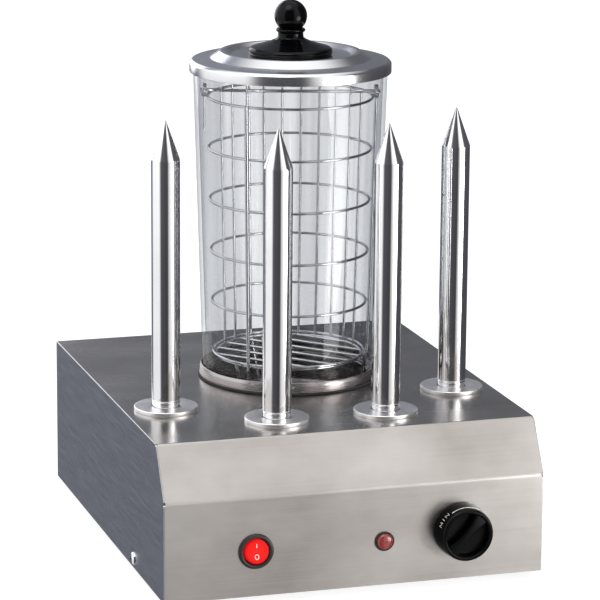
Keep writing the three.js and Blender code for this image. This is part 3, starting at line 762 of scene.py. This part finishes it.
def add_uprights():
    for i, degrees in enumerate(UPRIGHT_ANGLES):
        path = upright_path(degrees)
        piece = wires(f"basket_leg_{i + 1}", [path], THICK_WIRE * 0.9)
        add(piece, "basket", "basket_wire", WIRE, f"basket_upright_{i + 1}")
    eye = wires("bail_eye_right", [eye_coil(BAIL_ANGLE)], EYE_WIRE)
    add(eye, "basket", "basket_wire", WIRE)


def add_hoops():
    for i in range(HOOP_COUNT):
        z = HOOP_TOP_Z - HOOP_STEP * i
        piece = wires(f"hoop_{i + 1}", [circle(hoop_radius(z), z)], THIN_WIRE, cyclic=True)
        add(piece, "basket", "basket_wire", WIRE, f"basket_hoop_{i + 1}")
    degrees = BAIL_ANGLE + 180
    outside = HOOP_TOP_RADIUS + UPRIGHT_OFFSET
    tail = [polar(outside, degrees, z) for z in (HOOP_TOP_Z - TAIL_LENGTH, BAIL_Z - EYE_RADIUS)]
    eye = wires("bail_eye_left", [tail, eye_coil(degrees)], EYE_WIRE)
    add(eye, "basket", "basket_wire", WIRE)


def add_cage():
    ring_z = HOOP_FOOT_Z - WIRE_OFFSET
    ring_radius = HOOP_FOOT_RADIUS - WIRE_OFFSET
    top_radius = HOOP_TOP_RADIUS - WIRE_OFFSET
    paths = []
    for i in range(BACK_WIRE_COUNT):
        degrees = BACK_WIRE_START + BACK_WIRE_STEP * i
        top = polar(top_radius, degrees, HOOP_TOP_Z + WIRE_END)
        paths.append([polar(ring_radius, degrees, ring_z), top])
    turn = Matrix.Rotation(math.radians(FLOOR_BAR_ANGLE), 3, "Z")
    for i in range(FLOOR_BARS):
        offset = (i - (FLOOR_BARS - 1) / 2) * FLOOR_BAR_STEP
        reach = math.sqrt(ring_radius ** 2 - offset ** 2)
        ends = [turn @ Vector((x, offset, 0)) for x in (-reach, reach)]
        paths.append([Vector((JAR.x + p.x, JAR.y + p.y, ring_z)) for p in ends])
    cage = wires("basket_back_and_floor", paths, THIN_WIRE)
    add(cage, "basket", "basket_wire", WIRE, "basket_cage")
    ring = wires("basket_floor_ring", [circle(ring_radius, ring_z)], THIN_WIRE, cyclic=True)
    add(ring, "basket", "basket_wire", WIRE)


def add_bail():
    tip = HOOP_TOP_RADIUS + UPRIGHT_OFFSET + BAIL_TIP
    arc = []
    for i in range(BAIL_STEPS + 1):
        angle = math.pi * i / BAIL_STEPS
        arc.append(Vector((BAIL_RADIUS * math.cos(angle), BAIL_RADIUS * math.sin(angle), 0)))
    path = [Vector((tip, 0, 0))] + arc + [Vector((-tip, 0, 0))]
    place = (Matrix.Translation((JAR.x, JAR.y, BAIL_Z))
             @ Matrix.Rotation(math.radians(BAIL_ANGLE), 4, "Z")
             @ Matrix.Rotation(math.radians(-BAIL_REST), 4, "X"))
    piece = wires("bail_handle", [[place @ p for p in path]], BAIL_WIRE)
    add(piece, "bail", "basket_wire", WIRE, "basket_bail")


# ---- spikes ---------------------------------------------------------------------------------------


def add_spikes():
    for i in range(SPIKE_COUNT):
        node = f"bun_spike_{i + 1}"
        at = centre(node)
        foot = Vector((at.x, at.y, TOP))
        height = (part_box(node)[1].z - TOP) / MM
        shoulder = height - 29
        profile = [(0, -14), (8, -14), (8, 0), (10.1, 0), (10.1, 6.4), (9.6, 6.8), (9.6, 7.2),
                   (10.5, 7.6), (10.5, shoulder), (0.35, height - 0.5), (0, height - 0.1)]
        spike = turned(f"spike_{i + 1}", profile, foot, ease=0.35, steps=96, sharp=30)
        add(spike, "base", "polished_steel", POLISHED, node)
        ring = [(10.6, 0), (23.4, 0), (23.5, 2.6), (23.1, 3), (10.6, 3)]
        flange = turned(f"flange_{i + 1}", ring, foot, closed=True, ease=0.3, steps=96)
        add(flange, "base", "polished_steel", FLANGE_STEEL, f"spike_flange_{i + 1}")


# ---- controls -------------------------------------------------------------------------------------


def panel_point(node):
    at = centre(node)
    return Vector((at.x, FRONT, at.z))


def add_switch():
    place = panel_point("switch_housing")
    profile = [(0, -24), (10.6, -24), (10.6, 0), (13, 0), (13, 0.9), (12.4, 1.8), (11.4, 2.2),
               (10.4, 2), (9.8, 1.2), (9.7, -8), (0, -8)]
    bezel = turned("switch_bezel", profile, place, "-Y", ease=0.35, steps=96)
    add(bezel, "base", "switch_black", BEZEL, "switch_housing")
    rocker = rocker_mesh("rocker", place)
    add(rocker, "rocker", "rocker_red", ROCKER_RED, "rocker_button")
    add_rocker_marks(place)


ROCKER_RADIUS = 9.0 * MM
ROCKER_TILT = math.radians(7)
ROCKER_PIVOT = 0.3 * MM
ROCKER_BACK = -4.7 * MM
ROCKER_VALLEY = 2.1 * MM
ROCKER_SLOPE = 0.055
MARK_LIFT = 0.02 * MM
BAR_FOOT, BAR_HEAD = 2.6 * MM, 5.6 * MM
RING_MIDDLE = -3.9 * MM
RING_HALF_WIDTH = 1.35 * MM
RING_HALF_HEIGHT = 1.7 * MM
RING_STEPS = 32


def rocker_face(z):
    """How far the rocker's face stands out at height z from its middle, before it is tilted."""
    return ROCKER_VALLEY + ROCKER_SLOPE * abs(z)


def rocker_place(place):
    return (Matrix.Translation(place + Vector((0, ROCKER_PIVOT, 0)))
            @ Matrix.Rotation(-ROCKER_TILT, 4, "X"))


def rocker_mesh(name, place):
    """A round button whose face is two planes that meet in a shallow valley at its pivot."""
    rings = [0.0, 0.25, 0.5, 0.75, 0.93, 0.98, 1.0]
    drops = [0.0, 0.0, 0.0, 0.0, 0.0, 0.12 * MM, 0.5 * MM]
    profile = [(radius * ROCKER_RADIUS, -drop) for radius, drop in zip(rings, drops)][::-1]
    profile = [(0, ROCKER_BACK), (ROCKER_RADIUS, ROCKER_BACK)] + profile
    bm = lathe_mesh(profile, False, 72)
    for vertex in bm.verts:
        if vertex.co.z > -1 * MM:
            vertex.co.z += rocker_face(vertex.co.y)
    bm.transform(rocker_place(place) @ TURNS["-Y"])
    return mesh_object(name, bm, 40)


def add_rocker_marks(place):
    """I and O, printed on the rocker's two halves."""
    bar = [Vector((0, -rocker_face(z) - MARK_LIFT, z)) for z in (BAR_FOOT, BAR_HEAD)]
    ring = []
    for i in range(RING_STEPS):
        angle = 2 * math.pi * i / RING_STEPS
        z = RING_MIDDLE + RING_HALF_HEIGHT * math.sin(angle)
        ring.append(Vector((RING_HALF_WIDTH * math.cos(angle), -rocker_face(z) - MARK_LIFT, z)))
    turn = rocker_place(place)
    paths = [[turn @ p for p in bar], [turn @ p for p in ring + ring[:1]]]
    marks = wires("rocker_marks", paths, MARK_WIRE)
    add(marks, "rocker", "rocker_red", MARKS)


def add_lamp():
    place = panel_point("indicator_body")
    radius = span("indicator_body", across=0)
    body = [(0, -20), (5.2, -20), (5.2, 0), (radius, 0), (radius, 0.9), (radius - 0.5, 1.4),
            (radius - 1, 1.2), (radius - 1.1, 0.1), (0, 0.1)]
    holder = turned("lamp_holder", body, place, "-Y", ease=0.25, steps=72)
    add(holder, "base", "switch_black", BEZEL, "indicator_body")
    lens = [(0, 0.3), (radius - 1.3, 0.3), (radius - 1.4, 2), (radius - 2.4, 3.1), (radius - 4, 3.8),
            (radius - 5.8, 4.05), (0, 4.1)]
    glass = turned("lamp_lens", lens, place, "-Y", ease=0.8, steps=72)
    add(glass, "base", "lamp_red", LAMP_RED, "indicator_lens")


# The dial, in millimetres out from the panel and from its own axis.
DIAL_RADIUS = 20.3
DIAL_DEPTH = 18.0
DIAL_FLOOR = 10.5
SKIRT_START = 5
SKIRT_END = DIAL_DEPTH - 2.2
GRIP_COLUMNS = 16
GRIP_ANGLE = 48


def add_dial():
    place = panel_point("thermostat_knob")
    r = DIAL_RADIUS
    cup = [(0, 9), (3.2, 9), (3.2, 0.8), (r - 0.3, 0.8), (r, 1.6), (r - 0.1, SKIRT_START),
           (r - 0.8, SKIRT_END), (r - 1.7, DIAL_DEPTH - 0.6), (r - 2.8, DIAL_DEPTH),
           (r - 4.2, DIAL_DEPTH - 0.9), (r - 4.9, DIAL_FLOOR + 0.8), (r - 5.8, DIAL_FLOOR),
           (0, DIAL_FLOOR)]
    dial = turned("dial", cup, place, "-Y", ease=0.7, steps=120, sharp=60)
    add(dial, "dial", "knob_black", DIAL_BLACK, "thermostat_knob")
    add_grip(place)
    shaft = turned("dial_shaft", [(0, -22), (3, -22), (3, 8.7), (0, 8.7)], place, "-Y", ease=0.3, steps=48)
    add(shaft, "dial", "fastener_steel", ZINC, "thermostat_shaft")
    add_dial_marks(place)


def add_grip(place):
    """The bar across the dial's recess, waisted in its middle and set diagonally."""
    half, rise = (DIAL_RADIUS - 4.2) * MM, (DIAL_DEPTH - DIAL_FLOOR) * MM
    bm = bmesh.new()
    rows = []
    for i in range(GRIP_COLUMNS + 1):
        x = -half + 2 * half * i / GRIP_COLUMNS
        width = (3.6 + 3.2 * (x / half) ** 2) * MM
        height = rise * (0.94 - 0.14 * (x / half) ** 2)
        section = rounded([(-width, -0.4 * MM), (-width * 0.78, height), (width * 0.78, height),
                           (width, -0.4 * MM)], 1.4 * MM, steps=4)
        rows.append([bm.verts.new((x, y, z)) for y, z in section])
    for near, far in zip(rows, rows[1:]):
        for i in range(len(near) - 1):
            bm.faces.new((near[i], near[i + 1], far[i + 1], far[i]))
        bm.faces.new((near[-1], near[0], far[0], far[-1]))
    bm.faces.new(rows[0])
    bm.faces.new(reversed(rows[-1]))
    spin = Matrix.Rotation(math.radians(GRIP_ANGLE), 4, "Z")
    lift = Matrix.Translation((0, 0, DIAL_FLOOR * MM))
    bm.transform(Matrix.Translation(place) @ TURNS["-Y"] @ spin @ lift)
    grip = mesh_object("dial_grip", bm, 50)
    add(grip, "dial", "knob_black", DIAL_BLACK)


# Degrees round the skirt and millimetres off the panel.
LETTERS_START = 162
LETTER_WIDTH = 8.5
LETTER_PITCH = 11.5
LETTER_HEAD = 12
LETTER_HEIGHT = 3.4
ARC_DEPTH = 12.6
ARC_FROM, ARC_TO, ARC_STEP = 124, 58, -3
# Strokes of the letters M, I and N in a box 1 wide and 1 tall.
LETTERS = {
    "M": [[(0, 0), (0, 1), (0.5, 0.35), (1, 1), (1, 0)]],
    "I": [[(0.5, 0), (0.5, 1)]],
    "N": [[(0, 0), (0, 1), (1, 0), (1, 1)]],
}


def on_skirt(place, degrees, depth):
    """A point on the dial's skirt: degrees round it from +X as seen from the front, depth off the panel."""
    share = (depth - SKIRT_START) / (SKIRT_END - SKIRT_START)
    radius = (DIAL_RADIUS - 0.1 - 0.7 * share) * MM
    angle = math.radians(degrees)
    return place + Vector((radius * math.cos(angle), -depth * MM, radius * math.sin(angle)))


def add_dial_marks(place):
    """MIN and the arc that grows from it, printed round the skirt."""
    paths = []
    for i, letter in enumerate("MIN"):
        start = LETTERS_START - i * LETTER_PITCH
        for stroke in LETTERS[letter]:
            corners = [on_skirt(place, start - x * LETTER_WIDTH, LETTER_HEAD - y * LETTER_HEIGHT)
                       for x, y in stroke]
            paths.append(corners)
    paths.append([on_skirt(place, degrees, ARC_DEPTH) for degrees in range(ARC_FROM, ARC_TO, ARC_STEP)])
    marks = wires("dial_marks", paths, MARK_WIRE)
    add(marks, "dial", "knob_black", MARKS)


# ---- parts behind and inside ----------------------------------------------------------------------


def add_gland():
    at = centre("cable_gland")
    place = Vector((at.x, BACK, at.z))
    ring = [(4.6, -14), (8, -14), (8, 0), (12, 0), (12, 5), (10.6, 6), (10.2, 14.5), (8.4, 18),
            (5.2, 18.5), (4.6, 17.9)]
    gland = turned("cord_gland", ring, place, "+Y", closed=True, ease=0.5, steps=72)
    add(gland, "base", "switch_black", BEZEL, "cable_gland")


def paint_node(node, material):
    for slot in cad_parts[node].material_slots:
        slot.material = material


def paint_inner_parts():
    for node in ("rear_panel", "base_plate"):
        paint_node(node, STEEL)
    for node in ["heater_clamp", "heater_nut"] + [f"spike_nut_{i + 1}" for i in range(SPIKE_COUNT)]:
        paint_node(node, ZINC)
    for node in ["pan_heater", "sensor_bulb"] + [f"spike_heater_{i + 1}" for i in range(SPIKE_COUNT)]:
        paint_node(node, HOT_METAL)
    for node in ("thermostat_body", "terminal_block"):
        paint_node(node, CERAMIC)


# ---- stage ----------------------------------------------------------------------------------------
CAMERA_PLACE = Vector((-0.6853, -2.2372, 0.7297))
CAMERA_YAW = 0.30055
CAMERA_PITCH = -0.23081
CAMERA_ROLL = 0.00773
CAMERA_LENS = 191.1
SENSOR = 36.0


def view_axes():
    forward = Vector((math.sin(CAMERA_YAW) * math.cos(CAMERA_PITCH),
                      math.cos(CAMERA_YAW) * math.cos(CAMERA_PITCH), math.sin(CAMERA_PITCH)))
    level_right = Vector((math.cos(CAMERA_YAW), -math.sin(CAMERA_YAW), 0))
    level_up = level_right.cross(forward)
    right = level_right * math.cos(CAMERA_ROLL) + level_up * math.sin(CAMERA_ROLL)
    up = -level_right * math.sin(CAMERA_ROLL) + level_up * math.cos(CAMERA_ROLL)
    return right, up, forward


def add_camera():
    right, up, forward = view_axes()
    camera = link("camera", bpy.data.cameras.new("camera"))
    camera.data.lens = CAMERA_LENS
    camera.data.sensor_width = SENSOR
    camera.data.clip_end = 50
    turn = Matrix((right, up, -forward)).transposed().to_4x4()
    camera.matrix_world = Matrix.Translation(CAMERA_PLACE) @ turn
    bpy.context.scene.camera = camera


# Round the horizon from behind the object, by its left, the camera and its right: (share of the
# turn, colour). It stands for soft boxes to the left and right and a dark room beside the camera.
HORIZON = [
    (0.00, (0.19, 0.20, 0.23)),
    (0.03, (0.36, 0.38, 0.43)),
    (0.07, (0.30, 0.32, 0.38)),
    (0.135, (0.09, 0.105, 0.16)),
    (0.18, (1.45, 1.47, 1.50)),
    (0.36, (1.55, 1.55, 1.56)),
    (0.40, (0.14, 0.14, 0.15)),
    (0.55, (0.08, 0.08, 0.09)),
    (0.58, (1.00, 0.98, 0.96)),
    (0.62, (1.50, 1.47, 1.45)),
    (0.68, (1.65, 1.62, 1.60)),
    (0.705, (0.12, 0.12, 0.13)),
    (0.90, (0.10, 0.10, 0.11)),
    (1.00, (0.19, 0.20, 0.23)),
]
# From straight down to straight up: (share of the half turn, strength).
RISE = [(0.0, 0.45), (0.40, 0.65), (0.50, 0.95), (0.62, 0.95), (0.75, 1.05), (0.86, 1.3), (1.0, 1.6)]
# Between these heights the ring of boxes gives way to one even bright ceiling.
CEILING_START = 0.72
CEILING_END = 0.84
# A colour ramp holds values up to 1, so both ramps are halved and the strength doubles each.
RAMP_SHARE = 0.5
WORLD_STRENGTH = 1 / RAMP_SHARE ** 2
HORIZON_HALF = [(at, tuple(value * RAMP_SHARE for value in color)) for at, color in HORIZON]


def add_world():
    world = bpy.data.worlds.new("studio")
    bpy.context.scene.world = world
    world.use_nodes = True
    tree = world.node_tree
    background = tree.nodes["Background"]
    place = tree.nodes.new("ShaderNodeTexCoord").outputs["Generated"]

    def math_node(operation, first, second=None):
        node = tree.nodes.new("ShaderNodeMath")
        node.operation = operation
        for socket, value in zip(node.inputs, (first, second)):
            if isinstance(value, (int, float)):
                socket.default_value = value
            elif value is not None:
                tree.links.new(value, socket)
        return node.outputs[0]

    def along(axis):
        node = tree.nodes.new("ShaderNodeVectorMath")
        node.operation = "DOT_PRODUCT"
        tree.links.new(place, node.inputs[0])
        node.inputs[1].default_value = axis
        return node.outputs["Value"]

    def ramp(value, stops):
        node = tree.nodes.new("ShaderNodeValToRGB")
        elements = node.color_ramp.elements
        while len(elements) < len(stops):
            elements.new(0.5)
        for element, (position, color) in zip(elements, stops):
            element.position = position
            element.color = (*color, 1)
        tree.links.new(value, node.inputs[0])
        return node.outputs[0]

    right, _, forward = view_axes()
    right.z = forward.z = 0
    around = math_node("ARCTAN2", along(right.normalized()), along(-forward.normalized()))
    share = math_node("ADD", math_node("DIVIDE", around, 2 * math.pi), 0.5)
    lift = math_node("ADD", math_node("DIVIDE", math_node("ARCSINE", along((0, 0, 1))), math.pi), 0.5)
    strength = ramp(lift, [(at, (value * RAMP_SHARE,) * 3) for at, value in RISE])
    ceiling = ramp(lift, [(CEILING_START, (0, 0, 0)), (CEILING_END, (1, 1, 1))])
    merged = tree.nodes.new("ShaderNodeMix")
    merged.data_type = "RGBA"
    tree.links.new(ceiling, merged.inputs[0])
    tree.links.new(ramp(share, HORIZON_HALF), merged.inputs[6])
    merged.inputs[7].default_value = (RAMP_SHARE, RAMP_SHARE, RAMP_SHARE, 1)
    product = tree.nodes.new("ShaderNodeVectorMath")
    product.operation = "MULTIPLY"
    tree.links.new(merged.outputs[2], product.inputs[0])
    tree.links.new(strength, product.inputs[1])
    tree.links.new(product.outputs[0], background.inputs["Color"])
    background.inputs["Strength"].default_value = WORLD_STRENGTH


def add_light(name, place, target, size, watts, mirrored=True):
    light = link(name, bpy.data.lights.new(name, "AREA"))
    light.data.shape = "DISK"
    light.data.size = size
    light.data.energy = watts
    light.visible_glossy = mirrored
    light.visible_camera = False
    light.matrix_world = Matrix.Translation(place) @ (
        Vector(place) - Vector(target)).to_track_quat("Z", "Y").to_matrix().to_4x4()


def plain_stage_material(name, color, glow):
    paint = Paint(name, color, 0.9)
    paint.shader.inputs["Emission Color"].default_value = (1, 1, 1, 1)
    paint.shader.inputs["Emission Strength"].default_value = glow
    return paint.material


def add_stage():
    bm = bmesh.new()
    bmesh.ops.create_grid(bm, x_segments=1, y_segments=1, size=30)
    floor = mesh_object("floor", bm)
    floor.data.materials.append(plain_stage_material("floor_paint", (0.25, 0.25, 0.25), 0.88))
    floor.visible_glossy = False
    add_light("overhead_softbox", (-0.7, -0.5, 2.2), (0, 0, 0.15), 1.4, 12)
    add_light("right_softbox", (0.72, -0.8, 0.1), (0.14, FRONT, 0.07), 0.6, 5.5)
    add_light("front_fill", (1.3, -2.6, 1.3), (0, 0, 0.1), 1.6, 26, mirrored=False)
    add_light("rear_left_softbox", (-0.45, 1.3, 0.6), (-0.1, 0, TOP), 1.1, 5)
    bpy.context.scene.view_settings.view_transform = "Standard"


add_camera()
add_casing()
add_screws()
add_pan()
add_jar()
add_lid()
add_hoops()
add_uprights()
add_cage()
add_bail()
add_spikes()
add_switch()
add_lamp()
add_dial()
add_gland()
paint_inner_parts()
add_world()
add_stage()
